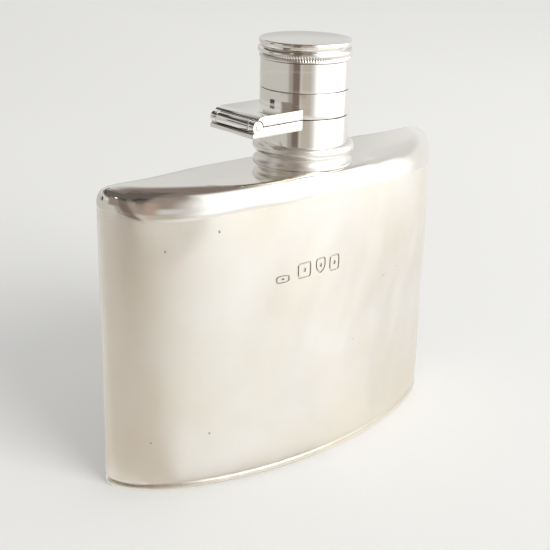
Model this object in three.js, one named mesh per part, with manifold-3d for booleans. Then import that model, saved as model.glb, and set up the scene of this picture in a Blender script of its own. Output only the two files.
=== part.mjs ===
// A silver pocket flask with a half-moon body and a hinged bayonet cap.
// Millimetres, +Z up. The origin is on the neck's axis, at the face that the flask stands on.
// X runs along the body's width, with the cap's hinge on the -X side, and the bulging front faces -Y.
import * as THREE from "three";
import { mergeVertices } from "three/addons/utils/BufferGeometryUtils.js";
import Module from "manifold-3d";

const wasm = await Module();
wasm.setup();

// ---- driving dimensions ----
const bodyWidth = 100; // tip to tip
const bodyHeight = 70.2;
const frontDepth = 13.1; // from the neck's axis forward to the middle of the front
const backDepth = 11.0; // from the neck's axis back to the middle of the hollow back
const backHollow = 1.8; // how far the back's middle lies in front of its ends
const frontFullness = 1.75; // 2 is a half ellipse, and less draws the ends to a point
const tipRadius = 5.1; // rounding from the ends into the back
const edgeRadius = 2.65; // rolled edge round the top and the base
const bodyWall = 0.7;
const seamGap = 0.05; // soldered joints

const neckRadius = 10.15; // collar and cap band
const collarHeight = 11.2;
const sheetWall = 0.8; // rolled neck and cap sheet
const footRingProud = 1.45; // beyond the collar
const footRingHeight = 5.0;

const mouthWall = 0.8;
const mouthGap = 1.1; // between the mouth's lip and the cap's inner tube
const mouthRise = 6.0; // mouth above the collar
const mouthLip = 0.25; // rolled lip beyond the tube's outside

const lidGap = 0.2; // between collar and cap, and between the hinge's leaves
const hingeBandHeight = 5.6;
const turnGap = 0.15; // between the hinged band and the part that turns
const capSleeveHeight = 6.3;
const milledRingProud = 0.6; // beyond the cap band
const milledRingHeight = 3.2;
const capLipProud = 0.35; // beyond the cap band
const capLipHeight = 0.95;
const capDome = 0.7;

const hingeReach = 9.85; // collar to hinge pin
const pinRadius = 0.6;
const barrelRadius = 1.4;
const hingeWidth = 14.5;
const leafThickness = 2.15;
const endKnuckle = 1.9;
const runClearance = 0.06; // pin in the turning knuckle
const sideClearance = 0.1; // between knuckles, and between nested tubes
const swingClearance = 0.15; // round a knuckle

const bayonetWall = 0.6;
const lugRadius = 0.8;
const lugRise = 3.1; // lug axis above the collar
const lugBite = 0.45; // how deep a lug stands in its slot
const slotClearance = 0.2;
const entryWidth = 3.0;
const lockTurn = 60; // degrees
const corkThickness = 2.25;
const cupSheet = 0.5;

const turns = 36; // facets round a circle
const knuckleTurns = 24;

// ---- what follows from them ----
const halfWidth = bodyWidth / 2;
const collarTop = bodyHeight + collarHeight;
const bandBase = collarTop + lidGap;
const pinHeight = collarTop + lidGap / 2;
const bandTop = bandBase + hingeBandHeight;
const sleeveBase = bandTop + turnGap;
const sleeveTop = sleeveBase + capSleeveHeight;
const milledTop = sleeveTop + seamGap + milledRingHeight;
const capInside = neckRadius - sheetWall;
const mouthTop = collarTop + mouthRise;
const bayonetOutside = capInside - sideClearance;
const bayonetInside = bayonetOutside - bayonetWall;
const mouthRadius = bayonetInside - mouthGap - mouthLip;
const boreRadius = mouthRadius - mouthWall; // what the drink pours through
const footRingRadius = neckRadius + footRingProud;
const milledRingRadius = neckRadius + milledRingProud;
const capLipRadius = neckRadius + capLipProud;
const pinReach = neckRadius + hingeReach; // neck's axis to hinge pin
const bayonetBase = bandBase + 0.45;
const bayonetTop = sleeveTop - 1;
const lugHeight = collarTop + lugRise;
const lugTip = bayonetInside + lugBite;
const corkBase = mouthTop + seamGap;
const corkTop = corkBase + corkThickness;
const cupRadius = bayonetInside - sideClearance;
const radians = THREE.MathUtils.degToRad;

// ---- shapes ----
const point = (x, y) => new THREE.Vector2(x, y);

function arc(x, y, radius, from, to, steps) {
  const at = (i) => radians(from + ((to - from) * i) / steps);
  return Array.from({ length: steps + 1 }, (_, i) =>
    point(x + radius * Math.cos(at(i)), y + radius * Math.sin(at(i))),
  );
}

// A profile of radius and height, counterclockwise, turned about the neck's axis.
function turned(profile, facets = turns) {
  return new THREE.LatheGeometry([...profile, profile[0]], facets).rotateX(Math.PI / 2);
}

function ring(inside, outside, base, top) {
  const corners = [[inside, base], [outside, base], [outside, top], [inside, top]];
  return turned(corners.map(([x, y]) => point(x, y)));
}

function rod(radius, length, facets) {
  return new THREE.CylinderGeometry(radius, radius, length, facets);
}

// The body seen from above, counterclockwise, moved in by inset.
function planOutline(inset) {
  const backAt = (x) => backDepth + backHollow * (x / (halfWidth - tipRadius)) ** 2;
  const tipY = backAt(halfWidth - tipRadius) - tipRadius;
  const frontSteps = 32;
  const front = Array.from({ length: frontSteps + 1 }, (_, i) => {
    const angle = Math.PI * (i / frontSteps - 0.5);
    const reach = Math.max(Math.cos(angle), 0) ** (2 / frontFullness);
    return point(halfWidth * Math.sin(angle), tipY - (tipY + frontDepth) * reach);
  });
  const backSteps = 10;
  const back = Array.from({ length: backSteps - 1 }, (_, i) => {
    const x = (halfWidth - tipRadius) * (1 - (2 * (i + 1)) / backSteps);
    return point(x, backAt(x));
  });
  const rightTip = arc(halfWidth - tipRadius, tipY, tipRadius, 0, 90, 4).slice(1);
  const leftTip = arc(tipRadius - halfWidth, tipY, tipRadius, 90, 180, 4).slice(0, -1);
  const loop = [...front, ...rightTip, ...back, ...leftTip];
  const moved = loop.map((p, i) => {
    const before = loop.at(i - 1);
    const after = loop[(i + 1) % loop.length];
    const along = after.clone().sub(before).normalize();
    return point(p.x - along.y * inset, p.y + along.x * inset);
  });
  return { shape: new THREE.Shape(moved), tipY };
}

function slab(shape, base, top) {
  const geometry = new THREE.ExtrudeGeometry(shape, { depth: top - base, bevelEnabled: false });
  return geometry.translate(0, 0, base);
}

// The body's block with its top and base edges rounded, shrunk by a wall all over.
function roundedBody(wall) {
  const radius = edgeRadius - wall;
  const geometry = new THREE.ExtrudeGeometry(planOutline(wall).shape, {
    depth: bodyHeight - 2 * edgeRadius,
    bevelThickness: radius,
    bevelSize: radius,
    bevelOffset: -radius,
    bevelSegments: 3,
  });
  return geometry.translate(0, 0, edgeRadius);
}

// ---- joining and cutting ----
function solid(geometry) {
  const bare = geometry.index ? geometry.toNonIndexed() : geometry.clone();
  bare.deleteAttribute("normal");
  bare.deleteAttribute("uv");
  const merged = mergeVertices(bare, 1e-4);
  return new wasm.Manifold(
    new wasm.Mesh({
      numProp: 3,
      vertProperties: merged.attributes.position.array,
      triVerts: new Uint32Array(merged.index.array),
    }),
  );
}

function geometryOf(manifold) {
  const { vertProperties, triVerts } = manifold.getMesh();
  const geometry = new THREE.BufferGeometry();
  geometry.setAttribute("position", new THREE.BufferAttribute(vertProperties, 3));
  geometry.setIndex(new THREE.BufferAttribute(triVerts, 1));
  return geometry;
}

const cut = (whole, ...tools) => tools.reduce((left, tool) => left.subtract(solid(tool)), whole);
const joined = (first, ...more) => more.reduce((sum, next) => sum.add(solid(next)), solid(first));

// ---- materials ----
const finish = (color, roughness, metalness) =>
  new THREE.MeshStandardMaterial({ color, roughness, metalness });
const bodySilver = finish(0xe3ddd0, 0.22, 1);
const brightSilver = finish(0xe9e6df, 0.1, 1);
const cork = finish(0xb98d5f, 0.9, 0);

const flask = new THREE.Group();
function add(name, geometry, material) {
  const mesh = new THREE.Mesh(geometry, material);
  mesh.name = name;
  flask.add(mesh);
  return mesh;
}

// ---- body: two shells soldered at the tips, with a plate let into the top and the base ----
function bodyShells() {
  const opening = slab(planOutline(edgeRadius).shape, -1, bodyHeight + 1);
  const skin = cut(solid(roundedBody(0)), roundedBody(bodyWall), opening);
  const { tipY } = planOutline(0);
  const reach = bodyWidth + bodyHeight;
  const keep = (y) => solid(new THREE.BoxGeometry(reach, reach, reach * 2).translate(0, y, 0));
  add("front_shell", geometryOf(skin.intersect(keep(tipY - reach / 2))), bodySilver);
  add("back_shell", geometryOf(skin.intersect(keep(tipY + seamGap + reach / 2))), bodySilver);
}

function bodyPlates() {
  const outline = () => planOutline(edgeRadius + seamGap).shape;
  add("base_plate", slab(outline(), 0, bodyWall), bodySilver);
  const pierced = outline();
  pierced.holes.push(
    new THREE.Path(arc(0, 0, mouthRadius + sideClearance, 0, -360, turns).slice(0, -1)),
  );
  add("top_plate", slab(pierced, bodyHeight - bodyWall, bodyHeight), bodySilver);
}

// ---- neck: a spun collar, the mouth tube inside it, and a half-round ring at its foot ----
function neck() {
  const base = bodyHeight + seamGap;
  const inside = neckRadius + sideClearance;
  const bulge = footRingRadius - inside;
  const middle = base + footRingHeight * 0.45;
  add(
    "foot_ring",
    turned([
      point(inside, base),
      point(footRingRadius - 0.3, base),
      point(footRingRadius - 0.04, base + 0.9),
      point(footRingRadius, middle),
      point(footRingRadius - 0.12 * bulge, base + 3.7),
      point(footRingRadius - 0.42 * bulge, base + 4.7),
      point(inside + 0.2, base + footRingHeight),
      point(inside, base + footRingHeight),
    ]),
    brightSilver,
  );
  const webHole = mouthRadius + sideClearance;
  add(
    "neck_collar",
    turned([
      point(neckRadius - sheetWall, base),
      point(neckRadius, base),
      point(neckRadius, collarTop - 0.1),
      point(neckRadius - 0.1, collarTop),
      point(webHole, collarTop),
      point(webHole, collarTop - sheetWall),
      point(neckRadius - sheetWall, collarTop - sheetWall),
    ]),
    brightSilver,
  );
  const lipCentre = mouthTop - mouthWall / 2 - mouthLip / 2;
  const lipRadius = mouthTop - lipCentre;
  add(
    "mouth_tube",
    turned([
      point(boreRadius, bodyHeight - bodyWall),
      point(mouthRadius, bodyHeight - bodyWall),
      point(mouthRadius, lipCentre - lipRadius),
      ...arc(mouthRadius + mouthLip - lipRadius, lipCentre, lipRadius, -40, 90, 4),
      point(boreRadius + 0.25, mouthTop),
      point(boreRadius, mouthTop - 0.25),
    ]),
    brightSilver,
  );
}

// Two studs on the mouth tube, one towards the front and one towards the back.
function bayonetLugs() {
  for (const [name, side] of [["bayonet_lug_front", -1], ["bayonet_lug_back", 1]]) {
    const root = mouthRadius + seamGap;
    const lug = add(name, rod(lugRadius, lugTip - root, knuckleTurns / 2), brightSilver);
    lug.position.set(0, (side * (lugTip + root)) / 2, lugHeight);
  }
}

// ---- hinge: two thick leaves, with three knuckles on one pin along Y ----
const across = (geometry, y) => geometry.translate(0, y, 0);
const knuckle = (radius, from, to) => across(rod(radius, to - from, knuckleTurns), (from + to) / 2);
// A side view in X and Z from the pin, extruded along Y over the hinge's width.
function leafBlock(outline) {
  const geometry = new THREE.ExtrudeGeometry(new THREE.Shape(outline), {
    depth: hingeWidth,
    bevelEnabled: false,
  });
  return geometry.translate(0, 0, -hingeWidth / 2).rotateX(Math.PI / 2);
}
const centreHalf = hingeWidth / 2 - endKnuckle;
const centreSpan = [sideClearance - centreHalf, centreHalf - sideClearance];
const endSpans = [[-hingeWidth / 2, -centreHalf], [centreHalf, hingeWidth / 2]];
const neckSide = () =>
  rod(neckRadius + sideClearance, hingeWidth, turns).rotateX(Math.PI / 2).translate(pinReach, 0, 0);

function hingeLeafLower() {
  const near = -lidGap / 2;
  const under = near - leafThickness;
  const block = solid(
    leafBlock([
      point(-barrelRadius, under + 0.3),
      point(0.3 - barrelRadius, under),
      point(pinReach, under),
      point(pinReach, near),
      point(0, near),
      point(-barrelRadius, -0.9 * barrelRadius),
    ]),
  );
  const cradle = knuckle(barrelRadius + swingClearance, -centreHalf, centreHalf);
  const leaf = cut(block, neckSide(), cradle);
  const ends = endSpans.map(([from, to]) => knuckle(barrelRadius, from, to));
  const bore = knuckle(pinRadius + seamGap, -hingeWidth, hingeWidth);
  return cut(ends.reduce((sum, end) => sum.add(solid(end)), leaf), bore);
}

function hingeLeafUpper() {
  const near = lidGap / 2;
  const over = near + leafThickness;
  const block = solid(
    leafBlock([
      point(0, near),
      point(pinReach, near),
      point(pinReach, over),
      point(1.9, over),
      point(1.2, over - 0.15),
      point(0.6, over - 0.5),
      point(0, barrelRadius - 0.05),
    ]),
  );
  const [front, back] = endSpans;
  const rooms = [
    knuckle(barrelRadius + swingClearance, front[0] - 1, front[1] + sideClearance),
    knuckle(barrelRadius + swingClearance, back[0] - sideClearance, back[1] + 1),
  ];
  const leaf = cut(block, neckSide(), ...rooms).add(solid(knuckle(barrelRadius, ...centreSpan)));
  return cut(leaf, knuckle(pinRadius + runClearance, -hingeWidth, hingeWidth));
}

function hinge() {
  const pin = rod(pinRadius, hingeWidth + 0.2, knuckleTurns);
  const pieces = [
    ["hinge_leaf_lower", geometryOf(hingeLeafLower())],
    ["hinge_leaf_upper", geometryOf(hingeLeafUpper())],
    ["hinge_pin", pin],
  ];
  for (const [name, geometry] of pieces) {
    add(name, geometry, brightSilver).position.set(-pinReach, 0, pinHeight);
  }
}

// ---- cap: a hinged band, and above it the part that turns to lock ----
const keeperBase = bandTop - 1.7;
const keeperHeight = 0.8;
const keeperRadius = capInside + 0.25;

function hingedBand() {
  const groove = keeperRadius + sideClearance;
  add(
    "cap_hinge_band",
    turned([
      point(capInside, bandBase),
      point(neckRadius, bandBase),
      point(neckRadius, bandTop),
      point(capInside, bandTop),
      point(capInside, keeperBase + keeperHeight + sideClearance),
      point(groove, keeperBase + keeperHeight + sideClearance),
      point(groove, keeperBase - sideClearance),
      point(capInside, keeperBase - sideClearance),
    ]),
    brightSilver,
  );
}

function turningCap() {
  add("cap_sleeve", ring(capInside, neckRadius, sleeveBase, sleeveTop), brightSilver);
  add(
    "retaining_ring",
    ring(bayonetOutside + seamGap, keeperRadius, keeperBase, keeperBase + keeperHeight),
    brightSilver,
  );
  const beadBase = sleeveTop + seamGap;
  const crest = beadBase + milledRingHeight * 0.48;
  add(
    "milled_ring",
    turned([
      point(capInside, beadBase),
      point(neckRadius + 0.05, beadBase),
      point(neckRadius + 0.35, beadBase + 0.45),
      point(milledRingRadius, crest - 0.5),
      point(milledRingRadius, crest + 0.5),
      point(neckRadius + 0.4, milledTop - 0.5),
      point(neckRadius, milledTop),
      point(capInside, milledTop),
    ]),
    brightSilver,
  );
  const lipBase = milledTop + seamGap;
  const lipTop = lipBase + capLipHeight;
  const spigot = capInside - sideClearance;
  add(
    "cap_top",
    turned([
      point(0, lipTop + capDome - sheetWall),
      point(spigot - sheetWall, lipTop - sheetWall),
      point(spigot - sheetWall, beadBase + 0.1),
      point(spigot, beadBase + 0.1),
      point(spigot, lipBase),
      point(capLipRadius - 0.25, lipBase),
      point(capLipRadius, lipBase + 0.25),
      point(capLipRadius, lipTop - 0.3),
      point(capLipRadius - 0.3, lipTop),
      point(capLipRadius * 0.6, lipTop + capDome * 0.68),
      point(0, lipTop + capDome),
    ]),
    brightSilver,
  );
}

// The inner tube, with a slot for each lug: up from its lower edge, then round to the lock.
function bayonetSleeve() {
  const slotHalf = lugRadius + slotClearance;
  const roof = lugHeight + slotHalf;
  const floor = lugHeight - slotHalf;
  const wide = capInside;
  const tools = [];
  for (const side of [0, 180]) {
    const entry = new THREE.BoxGeometry(entryWidth, wide, roof - bayonetBase + 1);
    entry.translate(0, wide, (roof + bayonetBase - 1) / 2);
    tools.push(entry.rotateZ(radians(side)));
    const reach = lockTurn + THREE.MathUtils.radToDeg(slotHalf / bayonetInside);
    const sweep = new THREE.Shape([point(0, 0), ...arc(0, 0, wide + 1, 90, 90 + reach, 12)]);
    tools.push(slab(sweep, floor, roof).rotateZ(radians(side)));
  }
  const tube = solid(ring(bayonetInside, bayonetOutside, bayonetBase, bayonetTop));
  add("bayonet_sleeve", geometryOf(cut(tube, ...tools)), brightSilver);
}

function seal() {
  const cupBase = corkBase + corkThickness * 0.45;
  const corkRadius = cupRadius - cupSheet - sideClearance;
  const cupUnder = corkTop + seamGap;
  add(
    "cork_seal",
    turned([
      point(0, corkBase),
      point(corkRadius, corkBase),
      point(corkRadius, corkTop),
      point(0, corkTop),
    ]),
    cork,
  );
  add(
    "seal_cup",
    turned([
      point(0, cupUnder),
      point(cupRadius - cupSheet, cupUnder),
      point(cupRadius - cupSheet, cupBase),
      point(cupRadius, cupBase),
      point(cupRadius, cupUnder + cupSheet),
      point(0, cupUnder + cupSheet),
    ]),
    brightSilver,
  );
}

bodyShells();
bodyPlates();
neck();
bayonetLugs();
hinge();
hingedBand();
turningCap();
bayonetSleeve();
seal();

export default flask;
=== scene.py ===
"""A silver pocket flask of half-moon section, with a hinged cap that turns to lock, and its studio."""

import math
import bmesh
import bpy
from bpy.props import FloatProperty, FloatVectorProperty, IntProperty, PointerProperty
from mathutils import Matrix, Vector, kdtree, noise


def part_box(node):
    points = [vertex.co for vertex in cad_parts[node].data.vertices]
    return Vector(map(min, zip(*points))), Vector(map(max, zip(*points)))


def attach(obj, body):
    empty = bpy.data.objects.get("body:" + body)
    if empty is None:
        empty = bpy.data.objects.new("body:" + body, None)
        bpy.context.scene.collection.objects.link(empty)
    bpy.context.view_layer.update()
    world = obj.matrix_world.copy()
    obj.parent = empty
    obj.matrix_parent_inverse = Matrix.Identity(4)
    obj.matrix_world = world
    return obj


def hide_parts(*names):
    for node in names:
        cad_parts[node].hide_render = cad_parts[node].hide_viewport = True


bl_info = {
    "name": "Silver Pocket Flask",
    "version": (1, 0, 0),
    "blender": (4, 5, 0),
    "location": "View3D > Sidebar > Flask",
    "description": "Builds a half-moon silver flask, its hinged bayonet cap and a studio for it",
    "category": "Add Mesh",
}

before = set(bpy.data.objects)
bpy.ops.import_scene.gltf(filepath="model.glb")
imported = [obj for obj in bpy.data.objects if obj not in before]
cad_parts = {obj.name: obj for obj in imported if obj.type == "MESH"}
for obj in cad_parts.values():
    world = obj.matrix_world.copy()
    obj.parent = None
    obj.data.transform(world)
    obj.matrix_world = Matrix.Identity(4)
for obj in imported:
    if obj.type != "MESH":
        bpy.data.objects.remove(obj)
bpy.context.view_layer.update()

MM = 0.001
SEAM = 0.05 * MM  # soldered joints
SAME = 1e-6  # corners nearer than this are at the same place
UP = Vector((0, 0, 1))


def smooth(start, end, value):
    """0 at start and 1 at end, and smooth between them."""
    part = min(1.0, max(0.0, (value - start) / (end - start)))
    return part * part * (3 - 2 * part)


# ---- places, from the frame ----
def low(node):
    """The lowest X, Y and Z of a CAD node."""
    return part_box(node)[0]


def high(node):
    """The highest X, Y and Z of a CAD node."""
    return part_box(node)[1]


def round_node(node):
    """The base, the top and the radius of a CAD node that is round about the neck's axis."""
    return low(node).z, high(node).z, high(node).x


HALF_WIDTH = high("front_shell").x
BODY_HEIGHT = high("front_shell").z
FRONT_DEPTH = -low("front_shell").y
TIP_Y = high("front_shell").y  # the shells meet here, at the ends of the width
BACK_END_Y = high("back_shell").y
TIP_RADIUS = BACK_END_Y - TIP_Y
ROLLED_EDGE = HALF_WIDTH - high("top_plate").x - SEAM
COLLAR_RADIUS = high("neck_collar").x
COLLAR_TOP = high("neck_collar").z
PIN_X = (low("hinge_pin").x + high("hinge_pin").x) / 2
PIN_Z = (low("hinge_pin").z + high("hinge_pin").z) / 2
PIN_RADIUS = (high("hinge_pin").x - low("hinge_pin").x) / 2
BARREL_RADIUS = PIN_X - low("hinge_leaf_lower").x
HINGE_HALF = high("hinge_leaf_lower").y
SHEET = 0.8 * MM  # what the neck and the cap are made of
CAP_INSIDE = COLLAR_RADIUS - SHEET


# ---- what a user may change ----
class FlaskBody(bpy.types.PropertyGroup):
    hollow: FloatProperty(
        name="Hollow", description="How far the back's middle lies in front of its ends",
        default=1.8 * MM, min=0, unit="LENGTH", subtype="DISTANCE")
    fullness: FloatProperty(
        name="Fullness", description="2 makes the front a half ellipse, and less draws it to points",
        default=1.75, min=1.2, max=2.5)
    shoulder: FloatProperty(
        name="Shoulder", description="How much taller than wide the rolled upper edge is",
        default=1.5, min=1.0, max=2.5)
    slope: FloatProperty(
        name="Slope", description="How far the top falls toward its front edge, beside the neck",
        default=0.45 * MM, min=0, unit="LENGTH", subtype="DISTANCE")
    wall: FloatProperty(
        name="Wall", description="Thickness of the body's sheet",
        default=0.7 * MM, unit="LENGTH", subtype="DISTANCE")
    waviness: FloatProperty(
        name="Waviness", description="Depth of the shallow dents left by use",
        default=0.05 * MM, min=0, unit="LENGTH", subtype="DISTANCE")
    punch_size: FloatProperty(
        name="Punch Size", description="Height of each punched mark",
        default=3.8 * MM, unit="LENGTH", subtype="DISTANCE")
    punch_depth: FloatProperty(
        name="Punch Depth", description="Depth of the punched lines",
        default=0.3 * MM, unit="LENGTH", subtype="DISTANCE")


class FlaskFittings(bpy.types.PropertyGroup):
    softness: FloatProperty(
        name="Softness", description="Rounding of the worn edges of the neck, hinge and cap",
        default=0.12 * MM, unit="LENGTH", subtype="DISTANCE")
    strokes: IntProperty(
        name="Strokes", description="Milled strokes round the cap's bead",
        default=108, min=12, max=240)
    stroke_depth: FloatProperty(
        name="Stroke Depth", description="Depth of the milled strokes",
        default=0.24 * MM, min=0, unit="LENGTH", subtype="DISTANCE")


class FlaskFinish(bpy.types.PropertyGroup):
    silver: FloatVectorProperty(
        name="Silver", description="Colour of the polished silver",
        default=(0.95, 0.935, 0.905), size=3, min=0, max=1, subtype="COLOR")
    bloom: FloatVectorProperty(
        name="Bloom", description="Colour of the thin warm film that age leaves on the silver",
        default=(0.9, 0.85, 0.75), size=3, min=0, max=1, subtype="COLOR")
    # this colour also paints the shade low down on the body silver
    tarnish: FloatVectorProperty(
        name="Tarnish", description="Colour of the tarnish in seams and corners",
        default=(0.16, 0.12, 0.09), size=3, min=0, max=1, subtype="COLOR")
    cork: FloatVectorProperty(
        name="Cork", description="Colour of the cork seal",
        default=(0.52, 0.33, 0.18), size=3, min=0, max=1, subtype="COLOR")


class FlaskStudio(bpy.types.PropertyGroup):
    floor: FloatVectorProperty(
        name="Floor", description="Colour of the paper sweep",
        default=(0.8, 0.8, 0.79), size=3, min=0, max=1, subtype="COLOR")
    window: FloatProperty(
        name="Window", description="Power of the large soft light in front and to the right",
        default=38.0, min=0, unit="POWER")
    sky: FloatProperty(
        name="Sky", description="Strength of the even light from all round",
        default=0.765, min=0)


# ---- materials ----
class Nodes:
    """A short way to add nodes to a material and to join them."""

    def __init__(self, name):
        self.material = bpy.data.materials.new(name)
        self.material.use_nodes = True
        self.tree = self.material.node_tree
        self.shader = self.tree.nodes["Principled BSDF"]
        self.place = self.add("ShaderNodeTexCoord").outputs["Object"]

    def add(self, kind, **settings):
        node = self.tree.nodes.new(kind)
        for key, value in settings.items():
            setattr(node, key, value)
        return node

    def feed(self, socket, value):
        if isinstance(value, bpy.types.NodeSocket):
            self.tree.links.new(value, socket)
        else:
            socket.default_value = value

    def along(self, axis):
        """How far a place lies along X, Y or Z."""
        node = self.add("ShaderNodeSeparateXYZ")
        self.feed(node.inputs["Vector"], self.place)
        return node.outputs[axis]

    def streaks(self, length, lean):
        """Places drawn out to length times along a line that leans from upright, in the X and Z plane."""
        node = self.add("ShaderNodeMapping", vector_type="TEXTURE")
        self.feed(node.inputs["Vector"], self.place)
        self.feed(node.inputs["Rotation"], (0.0, lean, 0.0))
        self.feed(node.inputs["Scale"], (1.0, 1.0, length))
        return node.outputs["Vector"]

    def noise(self, scale, detail=3.0, rough=0.5, place=None):
        node = self.add("ShaderNodeTexNoise")
        self.feed(node.inputs["Vector"], place or self.place)
        self.feed(node.inputs["Scale"], scale)
        self.feed(node.inputs["Detail"], detail)
        self.feed(node.inputs["Roughness"], rough)
        return node.outputs["Fac"]

    def cells(self, scale):
        node = self.add("ShaderNodeTexVoronoi")
        self.feed(node.inputs["Vector"], self.place)
        self.feed(node.inputs["Scale"], scale)
        return node.outputs["Distance"]

    def span(self, value, low, high, to_low=0.0, to_high=1.0):
        node = self.add("ShaderNodeMapRange")
        ends = (("From Min", low), ("From Max", high), ("To Min", to_low), ("To Max", to_high))
        self.feed(node.inputs["Value"], value)
        for key, end in ends:
            self.feed(node.inputs[key], end)
        return node.outputs["Result"]

    def maths(self, operation, first, second):
        node = self.add("ShaderNodeMath", operation=operation)
        self.feed(node.inputs[0], first)
        self.feed(node.inputs[1], second)
        return node.outputs["Value"]

    def blend(self, share, first, second):
        node = self.add("ShaderNodeMix", data_type="RGBA")
        self.feed(node.inputs["Factor"], share)
        self.feed(node.inputs[6], first)
        self.feed(node.inputs[7], second)
        return node.outputs[2]

    def bump(self, height, distance, strength=1.0, under=None):
        node = self.add("ShaderNodeBump")
        self.feed(node.inputs["Height"], height)
        self.feed(node.inputs["Distance"], distance)
        self.feed(node.inputs["Strength"], strength)
        if under is not None:
            self.feed(node.inputs["Normal"], under)
        return node.outputs["Normal"]

    def corners(self, reach):
        node = self.add("ShaderNodeAmbientOcclusion", samples=6, only_local=True)
        self.feed(node.inputs["Distance"], reach)
        return node.outputs["AO"]


def rgba(colour):
    return (*colour, 1.0)


HAIRLINES = ((0.35, 2600.0), (1.35, 3100.0), (-0.8, 2900.0))  # how far they lean, and how fine they are


def silver(name, gloss, film, wear, rubbed=None):
    """Polished silver. gloss is its roughness, film how much warm bloom lies on it, and wear its small dents.

    rubbed gives the heights between which it grows brighter, as pockets have rubbed it. Such silver is
    painted a little darker low down, as shade for the dark contact that its foot reflects, and the other
    silver has hairlines.
    """
    finish = bpy.context.scene.flask_finish
    m = Nodes(name)
    clouds = m.noise(45.0, 4.0, 0.55)
    bloom = m.span(clouds, 0.35, 0.7, 0.15 * film, film)
    metal = m.blend(bloom, rgba(finish.silver), rgba(finish.bloom))
    recess = m.span(m.corners(0.5 * MM), 0.25, 0.8, 0.85, 0.0)
    pits = m.span(m.cells(95.0), 0.012, 0.03, 0.7, 0.0)
    dark = m.maths("MAXIMUM", recess, pits)
    if rubbed:
        # painted shade: darker towards the foot, in the tarnish colour, for the dark contact that the rolled
        # base edge reflects
        dark = m.maths("MAXIMUM", dark, m.span(m.along("Z"), 0.4 * MM, 3.2 * MM, 0.12, 0.0))
    m.feed(m.shader.inputs["Base Color"], m.blend(dark, metal, rgba(finish.tarnish)))
    m.shader.inputs["Metallic"].default_value = 1.0
    smears = m.noise(160.0, 5.0, 0.6, m.streaks(3.0, 0.4))
    rough = m.span(smears, 0.3, 0.75, gloss * 0.8, gloss * 1.3)
    if rubbed:
        rough = m.maths("MULTIPLY", rough, m.span(m.along("Z"), *rubbed, 1.0, 0.18))
    m.feed(m.shader.inputs["Roughness"], m.maths("ADD", rough, m.maths("MULTIPLY", dark, 0.3)))
    normal = m.bump(m.noise(70.0, 2.0), 0.06 * MM, 0.5 * wear)
    if not rubbed:
        for lean, fine in HAIRLINES:
            lines = m.noise(fine, 1.0, 0.5, m.streaks(70.0, lean))
            normal = m.bump(m.span(lines, 0.73, 0.82), -0.001 * MM, 0.4 * wear, normal)
    m.feed(m.shader.inputs["Normal"], m.bump(pits, -0.05 * MM, 1.0, normal))
    return m.material


def cork(name):
    """Natural cork, with dark pores and pale grains."""
    finish = bpy.context.scene.flask_finish
    m = Nodes(name)
    grains = m.noise(900.0, 4.0, 0.6)
    pores = m.span(m.cells(700.0), 0.05, 0.3, 1.0, 0.0)
    pale = [min(1.0, c * 1.5) for c in finish.cork]
    deep = [c * 0.3 for c in finish.cork]
    body = m.blend(m.span(grains, 0.35, 0.65), rgba(finish.cork), rgba(pale))
    m.feed(m.shader.inputs["Base Color"], m.blend(pores, body, rgba(deep)))
    m.shader.inputs["Roughness"].default_value = 0.85
    m.feed(m.shader.inputs["Normal"], m.bump(pores, -0.12 * MM, 0.8, m.bump(grains, 0.05 * MM, 0.5)))
    return m.material


RUBBED = (BODY_HEIGHT - 6.5 * MM, BODY_HEIGHT - 3.5 * MM)
SILVERS = {
    "body silver": {"gloss": 0.36, "film": 0.9, "wear": 0.6, "rubbed": RUBBED},
    "ring silver": {"gloss": 0.34, "film": 0.2, "wear": 0.8},
    "plate silver": {"gloss": 0.09, "film": 0.35, "wear": 0.7},
    "fitting silver": {"gloss": 0.06, "film": 0.15, "wear": 0.5},
    "inner silver": {"gloss": 0.28, "film": 1.0, "wear": 1.0},
}


def finish_named(name):
    """The material of that name, made when it is first asked for."""
    made = bpy.data.materials.get(name)
    return made or (cork(name) if name == "cork" else silver(name, **SILVERS[name]))


# ---- making pieces ----
def object_from(bm, name):
    mesh = bpy.data.meshes.new(name)
    bm.to_mesh(mesh)
    bm.free()
    piece = bpy.data.objects.new(name, mesh)
    bpy.context.scene.collection.objects.link(piece)
    return piece


def settle(piece):
    """Makes what the modifiers show into the piece's own mesh."""
    bpy.context.view_layer.update()
    shown = piece.evaluated_get(bpy.context.evaluated_depsgraph_get())
    mesh = bpy.data.meshes.new_from_object(shown)
    piece.modifiers.clear()
    piece.data = mesh
    mesh.name = piece.name


def cut_with(piece, tools, operation="DIFFERENCE"):
    for tool in tools:
        change = piece.modifiers.new(operation, "BOOLEAN")
        change.object = tool
        change.operation = operation
        change.solver = "EXACT"
        settle(piece)
        bpy.data.objects.remove(tool)


CREASE = math.radians(32)  # edges that turn further than this stay sharp


def finish_piece(piece, finish, body, node):
    """Gives a finished shape its material and its body, and hides the CAD node that it stands for."""
    piece.data.materials.clear()
    piece.data.materials.append(finish_named(finish))
    piece.data.shade_smooth()
    piece.data.set_sharp_from_angle(angle=CREASE)
    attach(piece, body)
    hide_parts(node)


def draw_out(bm, way):
    """Draws flat faces out into a solid along way."""
    drawn = bmesh.ops.extrude_face_region(bm, geom=bm.faces[:])["geom"]
    bmesh.ops.translate(bm, verts=[part for part in drawn if isinstance(part, bmesh.types.BMVert)], vec=way)
    bmesh.ops.recalc_face_normals(bm, faces=bm.faces)


def rise(edge):
    """How much higher one end of an edge is than the other."""
    return abs(edge.verts[0].co.z - edge.verts[1].co.z)


def round_edges(bm, edges, width, segments, clamp=False):
    bmesh.ops.bevel(
        bm, geom=edges, offset=width, offset_type="OFFSET", segments=segments, profile=0.5,
        affect="EDGES", clamp_overlap=clamp, material=-1)


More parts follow.
